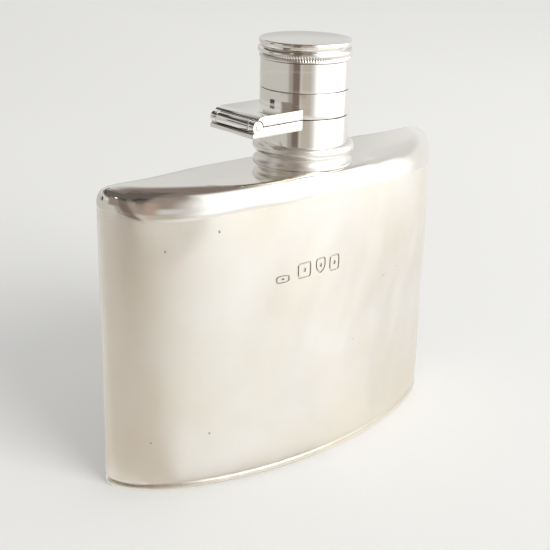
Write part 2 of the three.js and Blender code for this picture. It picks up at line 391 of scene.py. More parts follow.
def thicken(piece, thickness, softness):
    """Gives an outer skin its wall, inward, and softens the wall's edges."""
    wall = piece.modifiers.new("Wall", "SOLIDIFY")
    wall.thickness = thickness
    wall.offset = -1
    wall.use_even_offset = True
    soften(piece, softness)
    settle(piece)


def soften(piece, softness):
    edge = piece.modifiers.new("Soft edges", "BEVEL")
    edge.width = softness
    edge.segments = 2
    edge.limit_method = "ANGLE"
    edge.angle_limit = math.radians(50)


def spun(line, steps, closed=False):
    """A line of (radius, height) points spun about the neck's axis."""
    bm = bmesh.new()
    verts = [bm.verts.new((radius, 0, height)) for radius, height in line]
    edges = [bm.edges.new(pair) for pair in zip(verts, verts[1:])]
    if closed:
        edges.append(bm.edges.new((verts[-1], verts[0])))
    bmesh.ops.spin(
        bm, geom=verts + edges, cent=(0, 0, 0), axis=UP, angle=math.tau, steps=steps, use_merge=True)
    bmesh.ops.remove_doubles(bm, verts=bm.verts, dist=SAME / 10)
    bmesh.ops.recalc_face_normals(bm, faces=bm.faces)
    return bm


def turned(profile, steps=144):
    """Spins a profile about the neck's axis and rounds its corners.

    The profile's points are (radius, height, rounding). It closes on itself, or starts and ends on the axis.
    """
    bm = spun([point[:2] for point in profile], steps, closed=profile[0][0] > 0)
    for radius, height, rounding in profile:
        if rounding > 0:
            level = [v for v in bm.verts if abs(v.co.z - height) < SAME]
            corner = {v for v in level if abs(v.co.xy.length - radius) < SAME}
            round_edges(bm, [e for e in bm.edges if set(e.verts) <= corner], rounding, 5)
    return bm


def turned_piece(name, profile, finish, body, node):
    finish_piece(object_from(turned(profile), name), finish, body, node)


def arc(centre, radius, start, end, steps):
    """Points of (radius, height, no rounding) along an arc of the profile, for turned."""
    turns = (math.radians(start + (end - start) * i / steps) for i in range(steps + 1))
    return [(centre[0] + radius * math.cos(t), centre[1] + radius * math.sin(t), 0) for t in turns]


def along_y(bm, x, z):
    """Lays a turned piece down along Y, with its axis through x and z."""
    bmesh.ops.rotate(bm, verts=bm.verts, cent=(0, 0, 0), matrix=Matrix.Rotation(math.pi / 2, 3, "X"))
    bmesh.ops.translate(bm, verts=bm.verts, vec=(x, 0, z))
    return bm


def rod_along_y(radius, start, end, name, softness=0.0, steps=64):
    """A rod about the hinge's axis, from one Y to another."""
    ends = sorted((-start, -end))
    profile = [(0, ends[0], 0), (radius, ends[0], softness), (radius, ends[1], softness), (0, ends[1], 0)]
    return object_from(along_y(turned(profile, steps), PIN_X, PIN_Z), name)


# ---- body ----
OUTLINE_STEPS = 312


def front_y(x, body):
    """Y of the bulging front at x."""
    reach = max(0.0, 1 - (x / HALF_WIDTH) ** 2) ** (1 / body.fullness)
    return TIP_Y - (TIP_Y + FRONT_DEPTH) * reach


def outline_point(turn, body):
    """A point of the body's outline, for a turn of 0 to 1 from the +X end, round by the back."""
    straight = HALF_WIDTH - TIP_RADIUS
    if turn > 0.5:
        x = HALF_WIDTH * math.cos(turn * math.tau)
        return Vector((x, front_y(x, body), 0))
    tip_share = 1 / 12
    if turn < tip_share or turn > 0.5 - tip_share:
        swing = turn / tip_share if turn < tip_share else 2 - (0.5 - turn) / tip_share
        angle = swing * math.pi / 2
        side = 1 if swing < 1 else -1
        centre = Vector((side * straight, TIP_Y, 0))
        return centre + TIP_RADIUS * Vector((math.cos(angle), math.sin(angle), 0))
    x = straight * (1 - 2 * (turn - tip_share) / (0.5 - 2 * tip_share))
    return Vector((x, BACK_END_Y - body.hollow * (1 - (x / straight) ** 2), 0))


def outline_face(bm, body):
    """The body's outline as one face, bent from a circle."""
    verts = bmesh.ops.create_circle(bm, cap_ends=True, segments=OUTLINE_STEPS, radius=1)["verts"]
    for vert in verts:
        step = round(math.atan2(vert.co.y, vert.co.x) / math.tau * OUTLINE_STEPS)
        vert.co = outline_point(step / OUTLINE_STEPS % 1.0, body)
    return bm.faces[:][0]


def shoulder_drop(place, inset, body):
    """How far the top lies below its flat middle, at an inset from the outline.

    It falls wider at the ends, and slopes a little to the front beside the neck.
    """
    along = abs(place.x) / HALF_WIDTH
    ends = smooth(0.4, 0.82, along) * (1 - 0.9 * smooth(0.9, 0.99, along))
    beside = smooth(10 * MM, 16 * MM, abs(place.x)) * smooth(-1 * MM, -6 * MM, place.y) * (1 - ends)
    slope = body.slope * beside * max(0.0, 1 - inset / (10 * MM)) ** 2
    wide = ROLLED_EDGE * (1.02 + ends)
    tall = ROLLED_EDGE * (body.shoulder + 0.7 * ends)
    near = max(0.0, 1 - inset / wide)
    return slope + tall * (1 - math.sqrt(max(0.0, 1 - near * near)))


KNOCKS = (  # place, reach and depth of the dents from old knocks
    ((-40 * MM, -3.5 * MM, 63 * MM), 9 * MM, 0.55 * MM),
    ((-27 * MM, -9.5 * MM, 66 * MM), 7 * MM, 0.12 * MM),
    ((-49.6 * MM, 5.7 * MM, 46.9 * MM), 3 * MM, 0.06 * MM),
    ((6.3 * MM, -12.9 * MM, 27.6 * MM), 3 * MM, 0.05 * MM),
    ((24 * MM, 11 * MM, 30 * MM), 8 * MM, 0.1 * MM),
)


def rounded_body(body):
    """The closed body with its rolled edges and its shallow dents."""
    bm = bmesh.new()
    outline_face(bm, body)
    draw_out(bm, UP * BODY_HEIGHT)
    round_edges(bm, [e for e in bm.edges if rise(e) < SAME], ROLLED_EDGE, 16)
    for vert in bm.verts:
        depth = (BODY_HEIGHT - vert.co.z) / ROLLED_EDGE
        if depth < 1.001:
            inset = ROLLED_EDGE * (1 - math.sqrt(max(0.0, 1 - (1 - min(1.0, depth)) ** 2)))
            vert.co.z = BODY_HEIGHT - shoulder_drop(vert.co, inset, body)
    tall = [e for e in bm.edges if rise(e) > BODY_HEIGHT / 2]
    bmesh.ops.subdivide_edges(bm, edges=tall, cuts=36, use_grid_fill=True)
    bmesh.ops.delete(bm, geom=[f for f in bm.faces if len(f.verts) > 8], context="FACES_ONLY")
    bm.normal_update()
    for vert in bm.verts:
        height = min(vert.co.z, BODY_HEIGHT - vert.co.z) / (4 * ROLLED_EDGE)
        fade = min(1.0, max(0.0, height - 0.25)) ** 2
        near, far = noise.noise(vert.co * 38), noise.noise(vert.co * 95 + UP)
        depth = body.waviness * fade * (0.5 + 0.4 * near + 0.1 * far)
        for place, reach, knock in KNOCKS:
            away = (vert.co - Vector(place)).length / reach
            if away < 1:
                depth += knock * (1 - away ** 2) ** 2 * min(1.0, (BODY_HEIGHT - vert.co.z) / ROLLED_EDGE)
        vert.co -= vert.normal * depth
    return bm


PUNCHES = (  # name, width and height as shares of the full size, squareness, taper of the foot, place
    ("maker", 0.95, 0.46, 4.0, 0.0, (-16.0 * MM, 47.8 * MM)),
    ("square", 1.0, 1.0, 7.0, 0.0, (-10.2 * MM, 48.9 * MM)),
    ("shield", 0.76, 1.0, 5.0, 0.8, (-5.5 * MM, 49.1 * MM)),
    ("letter", 0.82, 1.03, 5.0, 0.0, (-1.3 * MM, 48.9 * MM)),
)


def punch(kind, wide, tall, squareness, taper, place, body):
    """A cutter for one blank mark: a frame line with a worn figure inside."""
    bm = bmesh.new()
    size = body.punch_size / 2
    loops = []
    for scale in (1.0, 0.78):
        ring = bmesh.ops.create_circle(bm, cap_ends=False, segments=48, radius=1)["verts"]
        loops += {e for v in ring for e in v.link_edges}
        for vert in ring:
            across, up = (math.copysign(abs(part) ** (2 / squareness), part) for part in vert.co.xy)
            vert.co.xy = scale * across * (1 - taper * max(0.0, -up) ** 2), scale * up
    bmesh.ops.bridge_loops(bm, edges=loops)
    bmesh.ops.create_circle(bm, cap_ends=True, segments=5, radius=0.3)
    bmesh.ops.scale(bm, verts=bm.verts, vec=(size * wide, size * tall, 1))
    draw_out(bm, UP * MM)
    x, height = place
    step = 0.2 * MM
    slope = math.atan2(front_y(x + step, body) - front_y(x - step, body), 2 * step)
    placed = Matrix.Translation((x, front_y(x, body), height)) @ Matrix.Rotation(slope, 4, "Z")
    placed = placed @ Matrix.Rotation(math.pi / 2, 4, "X") @ Matrix.Translation((0, 0, -body.punch_depth))
    bmesh.ops.transform(bm, matrix=placed, verts=bm.verts)
    return object_from(bm, "punch_" + kind)


PITS = ((-31 * MM, 60.9 * MM), (-33 * MM, 13.5 * MM), (6.3 * MM, 27.6 * MM), (17 * MM, 41 * MM))


def pit(x, height, body):
    """A cutter for a tiny pit in the front."""
    bm = bmesh.new()
    bmesh.ops.create_icosphere(bm, subdivisions=2, radius=0.3 * MM)
    bmesh.ops.translate(bm, verts=bm.verts, vec=(x, front_y(x, body), height))
    return object_from(bm, "pit")


class FLASK_OT_shells(bpy.types.Operator):
    """Build the bulging front and the hollow back, with their rolled edges and the punched marks"""

    bl_idname = "flask.shells"
    bl_label = "Body Shells"

    def execute(self, context):
        body = context.scene.flask_body
        for name, keep, seam in (("front_shell", "clear_outer", 0.0), ("back_shell", "clear_inner", SEAM)):
            bm = rounded_body(body)
            bmesh.ops.bisect_plane(
                bm, geom=bm.verts[:] + bm.edges[:] + bm.faces[:], dist=SAME,
                plane_co=(0, TIP_Y + seam, 0), plane_no=(0, 1, 0), **{keep: True})
            piece = object_from(bm, "flask_" + name)
            thicken(piece, body.wall, 0.06 * MM)
            if name == "front_shell":
                cut_with(piece, [punch(*one, body) for one in PUNCHES] + [pit(*one, body) for one in PITS])
            finish_piece(piece, "body silver", "flask", name)
        return {"FINISHED"}


def rim_ring(bm, body):
    """The plates' outline: the body's, drawn in to the rolled edge."""
    face = outline_face(bm, body)
    rim = bmesh.ops.inset_region(bm, faces=[face], thickness=ROLLED_EDGE + SEAM, use_even_offset=True)
    bmesh.ops.delete(bm, geom=rim["faces"], context="FACES")
    return bm.faces[:][0]


def raise_plate(bm, node):
    """Gives a plate's lower face its thickness and sets it at its height."""
    draw_out(bm, UP * (high(node).z - low(node).z))
    bmesh.ops.translate(bm, verts=bm.verts, vec=UP * low(node).z)


def finish_plate(bm, node):
    piece = object_from(bm, "flask_" + node)
    soften(piece, 0.05 * MM)
    settle(piece)
    finish_piece(piece, "plate silver", "flask", node)


class FLASK_OT_plates(bpy.types.Operator):
    """Build the plates let into the top and the base"""

    bl_idname = "flask.plates"
    bl_label = "Top and Base Plates"

    def execute(self, context):
        body = context.scene.flask_body
        self.base(body)
        self.top(body)
        return {"FINISHED"}

    def base(self, body):
        bm = bmesh.new()
        rim_ring(bm, body)
        raise_plate(bm, "base_plate")
        finish_plate(bm, "base_plate")

    def top(self, body):
        """Rings from the rim to the neck's hole, closer together near the rim, where the shoulder falls."""
        rings = 26
        bm = bmesh.new()
        rim = rim_ring(bm, body)
        corners = [vert.co.copy() for vert in rim.verts]
        bmesh.ops.delete(bm, geom=[rim], context="FACES_ONLY")
        hole = high("mouth_tube").x
        loops = [bm.edges[:]]
        for i in range(1, rings + 1):
            ring = bmesh.ops.create_circle(bm, cap_ends=False, segments=len(corners), radius=hole)["verts"]
            for vert, corner in zip(ring, self.matched(ring, corners)):
                vert.co = corner.lerp(vert.co, (i / rings) ** 2)
            loops.append(list({e for v in ring for e in v.link_edges}))
        for outer, inner in zip(loops, loops[1:]):
            bmesh.ops.bridge_loops(bm, edges=outer + inner)
        raise_plate(bm, "top_plate")
        places = 4 * OUTLINE_STEPS
        edge = kdtree.KDTree(places)
        for i in range(places):
            edge.insert(outline_point(i / places, body), i)
        edge.balance()
        for vert in bm.verts:
            inset = edge.find(vert.co * Vector((1, 1, 0)))[2]
            vert.co.z -= shoulder_drop(vert.co, inset, body)
        finish_plate(bm, "top_plate")

    def matched(self, ring, corners):
        """For each vertex of a ring, the rim's corner at its own step round from the +X end."""
        start = max(range(len(corners)), key=lambda i: corners[i].x - abs(corners[i].y - TIP_Y))
        round_way = sum(a.x * b.y - a.y * b.x for a, b in zip(corners, corners[1:] + corners[:1]))
        step = 1 if round_way > 0 else -1
        for vert in ring:
            turn = round(math.atan2(vert.co.y, vert.co.x) / math.tau * len(corners))
            yield corners[(start + step * turn) % len(corners)]


# ---- neck ----
class FLASK_OT_neck(bpy.types.Operator):
    """Build the foot ring, the collar and the mouth with its two studs"""

    bl_idname = "flask.neck"
    bl_label = "Neck"

    def execute(self, context):
        soft = context.scene.flask_fittings.softness
        self.foot_ring()
        self.collar(soft)
        self.mouth(soft)
        self.lugs(soft)
        return {"FINISHED"}

    def foot_ring(self):
        """A round bead over a hollow cove that spreads on to the top plate."""
        base, top, outside = round_node("foot_ring")
        inside = COLLAR_RADIUS + 0.05 * MM
        bead, cove = 1.35 * MM, 1.7 * MM
        foot = outside - 0.15 * MM
        profile = [
            (inside, base, 0),
            (foot, base, 0),
            (foot, base + 0.3 * MM, 0.1 * MM),
            *arc((outside + 0.6 * MM, base + 1.9 * MM), cove, 243, 168, 8),
            *arc((outside - bead, top - bead), bead, -72, 98, 20),
            (inside, top - 0.1 * MM, 0),
        ]
        turned_piece("neck_foot_ring", profile, "ring silver", "flask", "foot_ring")

    def collar(self, soft):
        """A band closed above by a web, through which the mouth stands up."""
        base, web = low("neck_collar").z, high("mouth_tube").x
        profile = [
            (CAP_INSIDE, base, 0),
            (COLLAR_RADIUS, base, 0),
            (COLLAR_RADIUS, COLLAR_TOP, soft),
            (web, COLLAR_TOP, soft),
            (web, COLLAR_TOP - SHEET, 0),
            (CAP_INSIDE, COLLAR_TOP - SHEET, 0),
        ]
        turned_piece("neck_band", profile, "fitting silver", "flask", "neck_collar")

    def mouth(self, soft):
        base, top, lip = round_node("mouth_tube")
        wall = lip - 0.25 * MM
        bore = wall - SHEET
        roll = (lip - bore) / 2
        profile = [
            (bore, base, soft),
            (wall, base, soft),
            (wall, top - 2 * roll, 0),
            *arc((lip - roll, top - roll), roll, -50, 90, 12),
            (bore + 0.2 * MM, top, soft),
            (bore, top - 0.3 * MM, soft),
        ]
        turned_piece("neck_mouth", profile, "inner silver", "flask", "mouth_tube")

    def lugs(self, soft):
        for node in ("bayonet_lug_front", "bayonet_lug_back"):
            start, end = low(node), high(node)
            radius = (end.z - start.z) / 2
            tip = [(0, start.y, 0), (radius, start.y, soft), (radius, end.y, soft), (0, end.y, 0)]
            bm = turned(tip, 48)
            bmesh.ops.rotate(bm, verts=bm.verts, cent=(0, 0, 0), matrix=Matrix.Rotation(-math.pi / 2, 3, "X"))
            bmesh.ops.translate(bm, verts=bm.verts, vec=(0, 0, (start.z + end.z) / 2))
            finish_piece(object_from(bm, node.replace("bayonet", "neck")), "inner silver", "flask", node)


# ---- hinge ----
LEAF_GAP = 0.1 * MM  # from the pin's height to each leaf
KNUCKLE_ROOM = 0.15 * MM
CENTRE_HALF = HINGE_HALF - 1.9 * MM  # half the room for the upper leaf's knuckle
BARREL_HALF = CENTRE_HALF - 0.1 * MM
PAST_ENDS = 2 * HINGE_HALF  # cutters reach this far


def leaf_block(name, outline, softness):
    """A hinge leaf's side outline, drawn out along Y, with its long edges softened."""
    bm = bmesh.new()
    bm.faces.new([bm.verts.new((PIN_X + x, -HINGE_HALF, PIN_Z + z)) for x, z in outline])
    draw_out(bm, (0, 2 * HINGE_HALF, 0))
    sharp = [e for e in bm.edges if e.calc_face_angle(0) > math.radians(40)]
    round_edges(bm, sharp, softness, 4, clamp=True)
    return object_from(bm, name)


def neck_cutter():
    """Cuts a leaf to the neck's roundness."""
    radius, tall = COLLAR_RADIUS + 0.04 * MM, 200 * MM
    return object_from(turned([(0, 0, 0), (radius, 0, 0), (radius, tall, 0), (0, tall, 0)]), "neck_cutter")


class FLASK_OT_hinge(bpy.types.Operator):
    """Build the hinge: a leaf on the neck, a leaf on the cap, and the pin through their knuckles"""

    bl_idname = "flask.hinge"
    bl_label = "Hinge"

    def execute(self, context):
        soft = context.scene.flask_fittings.softness
        self.lower_leaf(soft)
        self.upper_leaf(soft)
        self.pin()
        return {"FINISHED"}

    def lower_leaf(self, soft):
        under = low("hinge_leaf_lower").z - PIN_Z
        outline = [
            (-BARREL_RADIUS, -BARREL_RADIUS),
            (-BARREL_RADIUS, under),
            (-PIN_X, under),
            (-PIN_X, -LEAF_GAP),
            (0, -LEAF_GAP),
        ]
        leaf = leaf_block("hinge_lower_leaf", outline, soft)
        room = BARREL_RADIUS + KNUCKLE_ROOM
        cut_with(leaf, [neck_cutter(), rod_along_y(room, -CENTRE_HALF, CENTRE_HALF, "cradle")])
        ends = [(-HINGE_HALF, -CENTRE_HALF), (CENTRE_HALF, HINGE_HALF)]
        cut_with(leaf, [rod_along_y(BARREL_RADIUS, a, b, "knuckle", soft) for a, b in ends], "UNION")
        cut_with(leaf, [rod_along_y(PIN_RADIUS + 0.03 * MM, -PAST_ENDS, PAST_ENDS, "bore")])
        finish_piece(leaf, "fitting silver", "flask", "hinge_leaf_lower")

    def upper_leaf(self, soft):
        over = high("hinge_leaf_upper").z - PIN_Z
        wide, tall = 2.1 * MM, over - BARREL_RADIUS * 0.97  # the rounding over the barrel
        outline = [(0, LEAF_GAP), (-PIN_X, LEAF_GAP), (-PIN_X, over)]
        for turn in map(math.radians, range(0, 91, 10)):
            outline.append((wide * (1 - math.sin(turn)), over - tall * (1 - math.cos(turn))))
        leaf = leaf_block("hinge_upper_leaf", outline, soft * 0.8)
        room = BARREL_RADIUS + KNUCKLE_ROOM
        rooms = [(-PAST_ENDS, -BARREL_HALF), (BARREL_HALF, PAST_ENDS)]
        cut_with(leaf, [neck_cutter()] + [rod_along_y(room, a, b, "room") for a, b in rooms])
        barrel = rod_along_y(BARREL_RADIUS, -BARREL_HALF, BARREL_HALF, "barrel", soft * 0.5)
        cut_with(leaf, [barrel], "UNION")
        cut_with(leaf, [rod_along_y(PIN_RADIUS + 0.04 * MM, -PAST_ENDS, PAST_ENDS, "bore")])
        finish_piece(leaf, "fitting silver", "cap_base", "hinge_leaf_upper")

    def pin(self):
        ends = low("hinge_pin").y, high("hinge_pin").y
        pin = rod_along_y(PIN_RADIUS, *ends, "hinge_rivet", 0.18 * MM, 48)
        finish_piece(pin, "fitting silver", "flask", "hinge_pin")


# ---- cap ----
class FLASK_OT_cap(bpy.types.Operator):
    """Build the cap: its hinged band, its turning sleeve, the milled bead and the domed top"""

    bl_idname = "flask.cap"
    bl_label = "Cap"

    def execute(self, context):
        fittings = context.scene.flask_fittings
        self.hinged_band(fittings.softness)
        self.sleeve(fittings.softness)
        self.bead(fittings)
        self.top(fittings.softness)
        return {"FINISHED"}

    def hinged_band(self, soft):
        base, top, _ = round_node("cap_hinge_band")
        gap = 0.1 * MM
        floor, roof = low("retaining_ring").z - gap, high("retaining_ring").z + gap
        groove = high("retaining_ring").x + gap
        profile = [
            (CAP_INSIDE, base, soft),
            (COLLAR_RADIUS, base, soft),
            (COLLAR_RADIUS, top, soft * 0.6),
            (CAP_INSIDE, top, 0),
            (CAP_INSIDE, roof, 0),
            (groove, roof, 0),
            (groove, floor, 0),
            (CAP_INSIDE, floor, 0),
        ]
        turned_piece("cap_lower_band", profile, "fitting silver", "cap_base", "cap_hinge_band")

    def sleeve(self, soft):
        base, top, _ = round_node("cap_sleeve")
        profile = [
            (CAP_INSIDE, base, 0),
            (COLLAR_RADIUS, base, soft * 0.6),
            (COLLAR_RADIUS, top, 0),
            (CAP_INSIDE, top, 0),
        ]
        turned_piece("cap_upper_band", profile, "fitting silver", "cap", "cap_sleeve")

    def bead(self, fittings):
        """A lower lip and a round bead, whose lower half is milled with slanting strokes."""
        base, top, outside = round_node("milled_ring")
        radius = 0.95 * MM
        slant = 2.2  # radians of a stroke's wave, from the lower end to the upper
        middle = base + 1.75 * MM
        profile = [
            (CAP_INSIDE, base, 0),
            (COLLAR_RADIUS - 0.3 * MM, base, 0),
            (COLLAR_RADIUS - 0.22 * MM, base + 0.18 * MM, 0),
            (COLLAR_RADIUS + 0.2 * MM, base + 0.12 * MM, 0.05 * MM),
            (COLLAR_RADIUS + 0.2 * MM, base + 0.45 * MM, 0),
            *arc((outside - radius, middle), radius, -62, 75, 22),
            (COLLAR_RADIUS + 0.02 * MM, top - 0.18 * MM, 0),
            (COLLAR_RADIUS - 0.1 * MM, top, 0),
            (CAP_INSIDE, top, 0),
        ]
        bm = turned(profile, fittings.strokes * 6)
        cut_low, cut_high = base + 0.55 * MM, middle - 0.1 * MM
        for vert in bm.verts:
            share = (vert.co.z - cut_low) / (cut_high - cut_low)
            if 0 < share < 1 and vert.co.xy.length > COLLAR_RADIUS:
                wave = math.atan2(vert.co.y, vert.co.x) * fittings.strokes + share * slant
                deepest = fittings.stroke_depth * math.sin(share * math.pi) ** 0.5
                depth = deepest * (0.5 - 0.5 * math.cos(wave))
                vert.co.xy *= 1 - depth / vert.co.xy.length
        finish_piece(object_from(bm, "cap_milled_bead"), "fitting silver", "cap", "milled_ring")

    def top(self, soft):
        crown, lip = high("cap_top").z, high("cap_top").x
        lip_top = crown - 0.7 * MM
        lip_base = high("milled_ring").z + SEAM
        spigot = CAP_INSIDE - 0.1 * MM
        dome_radius, dome_base = 0.93 * lip, lip_top + 0.08 * MM
        outward = [1 - i / 8 for i in range(9)]
        dome = [(dome_radius * out, crown - (crown - dome_base) * out ** 2, 0) for out in outward]
        profile = [
            (0, crown - SHEET, 0),
            (spigot - SHEET, lip_top - SHEET, 0),
            (spigot - SHEET, low("cap_top").z, 0),
            (spigot, low("cap_top").z, 0),
            (spigot, lip_base, 0),
            (lip - 0.08 * MM, lip_base, 0.1 * MM),
            (lip, lip_base + 0.45 * MM, 0.2 * MM),
            (lip - 0.14 * MM, lip_top, 0.18 * MM),
            *dome,
        ]
        turned_piece("cap_domed_top", profile, "fitting silver", "cap", "cap_top")


class FLASK_OT_lock(bpy.types.Operator):
    """Build what is inside the cap: the slotted bayonet sleeve, its keeper, the cork and its cup"""

    bl_idname = "flask.lock"
    bl_label = "Bayonet Lock and Seal"

    def execute(self, context):
        soft = context.scene.flask_fittings.softness
        self.slotted_sleeve()
        self.keeper(soft)
        self.cup(soft)
        self.seal()
        return {"FINISHED"}

    def slotted_sleeve(self):
        """A tube whose two slots let the studs in from below and then run round it at one height."""
        base, top, outside = round_node("bayonet_sleeve")
        room = 0.2 * MM
        lug_low, lug_high = low("bayonet_lug_front").z - room, high("bayonet_lug_front").z + room
        half_entry, reach = 9.5, 66.5  # degrees from the middle of a slot's entry
        bm = bmesh.new()
        verts = bmesh.ops.create_circle(bm, cap_ends=False, segments=360, radius=outside)["verts"]
        bmesh.ops.translate(bm, verts=verts, vec=UP * base)
        loop = bm.edges[:]
        for step in (lug_low - base, lug_high - lug_low, top - lug_high):
            grown = bmesh.ops.extrude_edge_only(bm, edges=loop)["geom"]
            raised = [part for part in grown if isinstance(part, bmesh.types.BMVert)]
            bmesh.ops.translate(bm, verts=raised, vec=UP * step)
            loop = [part for part in grown if isinstance(part, bmesh.types.BMEdge) and rise(part) < SAME]
        bmesh.ops.recalc_face_normals(bm, faces=bm.faces)
        side = bm.faces[:][0]
        if side.normal.dot(side.calc_center_median().xy.to_3d()) < 0:
            bmesh.ops.reverse_faces(bm, faces=bm.faces)
        gone = []
        for face in bm.faces:
            centre = face.calc_center_median()
            turn = math.degrees(math.atan2(centre.y, centre.x)) % 180 - 90
            in_entry = abs(turn) < half_entry and centre.z < lug_high
            in_track = -half_entry < turn < reach and lug_low < centre.z < lug_high
            if in_entry or in_track:
                gone.append(face)
        bmesh.ops.delete(bm, geom=gone, context="FACES")
        piece = object_from(bm, "cap_slotted_sleeve")
        thicken(piece, 0.6 * MM, 0.08 * MM)
        finish_piece(piece, "inner silver", "cap", "bayonet_sleeve")

    def keeper(self, soft):
        base, top, outside = round_node("retaining_ring")
        inside = high("bayonet_sleeve").x + SEAM
        profile = [(inside, base, 0), (outside, base, soft), (outside, top, soft), (inside, top, 0)]
        turned_piece("cap_keeper_ring", profile, "inner silver", "cap", "retaining_ring")

    def cup(self, soft):
        base, top, outside = round_node("seal_cup")
        sheet = 0.5 * MM
        profile = [
            (0, top - sheet, 0),
            (outside - sheet, top - sheet, 0.2 * MM),
            (outside - sheet, base, soft),
            (outside, base, soft),
            (outside, top, 0.35 * MM),
            (0, top, 0),
        ]
        turned_piece("cap_cork_cup", profile, "inner silver", "cap", "seal_cup")

    def seal(self):
        """A cork disc whose lower face is a little uneven."""
        base, top, outside = round_node("cork_seal")
        rounding = 0.25 * MM
        under = [(outside * i / 12, base, 0) for i in range(12)]
        bm = turned([*under, (outside, base, rounding), (outside, top, 0), (0, top, 0)], 96)
        for vert in bm.verts:
            if vert.co.z < base + 0.3 * MM:
                vert.co.z += 0.06 * MM * (1 + noise.noise(vert.co * 1500))
        finish_piece(object_from(bm, "cap_cork"), "cork", "cap", "cork_seal")


# ---- studio ----
TARGET = Vector((0, 0, 44.09 * MM))
CAMERA_TURN = math.radians(43.35)
CAMERA_RISE = math.radians(20.04)
CAMERA_ROLL = math.radians(1.8)
CAMERA_DISTANCE = 264.93 * MM
CAMERA_LENS = 72.67
CAMERA_SHIFT = (-0.0439, -0.0177)

WINDOW_PLACE = Vector((0.27, -1.95, 1.05))  # in front of the flask, to the right and above
WINDOW_SIZE = (1.5, 1.2)
DOME_RADIUS = 0.42
DIM_TABLE = Vector((0.59, 0.54, 0.475))
LIT_TABLE = Vector((1.08, 1.06, 1.02))
PALE_TABLE = Vector((0.84, 0.82, 0.785))
TABLE_FALL = 0.16  # how far below the horizon the table's far part is seen
AIM_HEIGHT = 0.07  # the height from which the dome's elevations are told
ROOM_LEVEL = Vector((0.6, 0.59, 0.575))
ROOM_UP = Vector((0.7, 0.695, 0.68))
ROOM_HIGH = Vector((0.22, 0.185, 0.165))


class Tone:
    """One light or dark patch of the glowing dome round the table, by where it is and what colour it shows.

    Azimuth is counted from +X towards +Y and elevation from the horizon, both in degrees.
    """

    def __init__(self, colour, azimuth, wide, elevation, high, soft=4.0):
        self.colour = Vector(colour)
        self.azimuth, self.wide = azimuth, wide
        self.elevation, self.high = elevation, high
        self.soft = soft

    def share(self, azimuth, elevation):
        """1 inside the thing and 0 outside it, and smooth at its border."""
        aside = abs((azimuth - self.azimuth + 180) % 360 - 180) - self.wide
        above = abs(elevation - self.elevation) - self.high
        return smooth(self.soft / 2, -self.soft / 2, max(aside, above))


TONES = (  # a later one covers an earlier one
    Tone((0.55, 0.53, 0.49), 140, 62, -4, 14),  # the table's far end
    Tone((0.13, 0.112, 0.1), 160, 60, 62, 38, 16),  # the dark side of the room
    Tone((0.3, 0.25, 0.215), 232, 12, 42, 24, 16),  # brown, high beside the light
    Tone((0.27, 0.235, 0.205), 196, 28, 20, 19, 10),  # brown, to the left
    Tone((0.35, 0.32, 0.29), 194, 8, -6, 10, 8),  # its paler foot
    Tone((0.19, 0.145, 0.12), 206, 9, 10, 26, 7),  # a darker upright in it
    Tone((0.5, 0.45, 0.385), 231, 12, -6, 10, 8),  # beige, low
    Tone((0.42, 0.32, 0.265), 224, 6, 20, 22, 8),  # a warm upright
    Tone((0.06, 0.055, 0.055), 207, 7, 56, 4, 5),  # black, high
    Tone((1.6, 1.5, 1.4), 187, 4, 47, 4, 2),  # a painted glint: a small glowing patch, with no lamp there
    Tone((0.05, 0.05, 0.045), 138, 8, 9, 6, 3),  # black, small and low, behind on the left
    Tone((0.06, 0.055, 0.05), 108, 30, 35, 6, 3),  # a dark beam behind
    Tone((0.86, 0.85, 0.83), 10, 30, -2, 16, 10),  # pale, on the right
    Tone((1.3, 1.3, 1.28), 302, 48, 15, 50, 18),  # white sheets round the light
    Tone((4.2, 4.18, 4.1), 290, 30, 34, 18, 8),  # the window light's painted reflection; the window itself is hidden from reflections
)


def room_tone(place, centre):
    """What the silver sees in the direction of place, from centre."""
    away = place - centre
    azimuth = math.degrees(math.atan2(away.y, away.x)) % 360
    elevation = math.degrees(math.atan2(away.z, away.xy.length))
    colour = ROOM_LEVEL.lerp(ROOM_UP, smooth(8, 20, elevation)).lerp(ROOM_HIGH, smooth(28, 65, elevation))
    for tone in TONES:
        colour = colour.lerp(tone.colour, tone.share(azimuth, elevation))
    return colour


def glow(name):
    """Shines with the colour attribute, and lets through what its alpha leaves."""
    material = bpy.data.materials.new(name)
    material.use_nodes = True
    tree = material.node_tree
    tree.nodes.clear()
    tone = tree.nodes.new("ShaderNodeAttribute")
    tone.attribute_name = "tone"
    light = tree.nodes.new("ShaderNodeEmission")
    clear = tree.nodes.new("ShaderNodeBsdfTransparent")
    mix = tree.nodes.new("ShaderNodeMixShader")
    out = tree.nodes.new("ShaderNodeOutputMaterial")
    tree.links.new(tone.outputs["Color"], light.inputs["Color"])
    tree.links.new(tone.outputs["Alpha"], mix.inputs["Fac"])
    tree.links.new(clear.outputs["BSDF"], mix.inputs[1])
    tree.links.new(light.outputs["Emission"], mix.inputs[2])
    tree.links.new(mix.outputs["Shader"], out.inputs["Surface"])
    return material


def reflected_only(bm, name, tone_at):
    """A stage piece that only the silver's reflections show, with its colour and alpha told by tone_at."""
    tones = bm.verts.layers.float_color.new("tone")
    for vert in bm.verts:
        vert[tones] = tone_at(vert.co)
    piece = object_from(bm, name)
    piece.data.materials.append(glow(name))
    for ray in ("camera", "diffuse", "shadow", "transmission", "volume_scatter"):
        setattr(piece, "visible_" + ray, False)


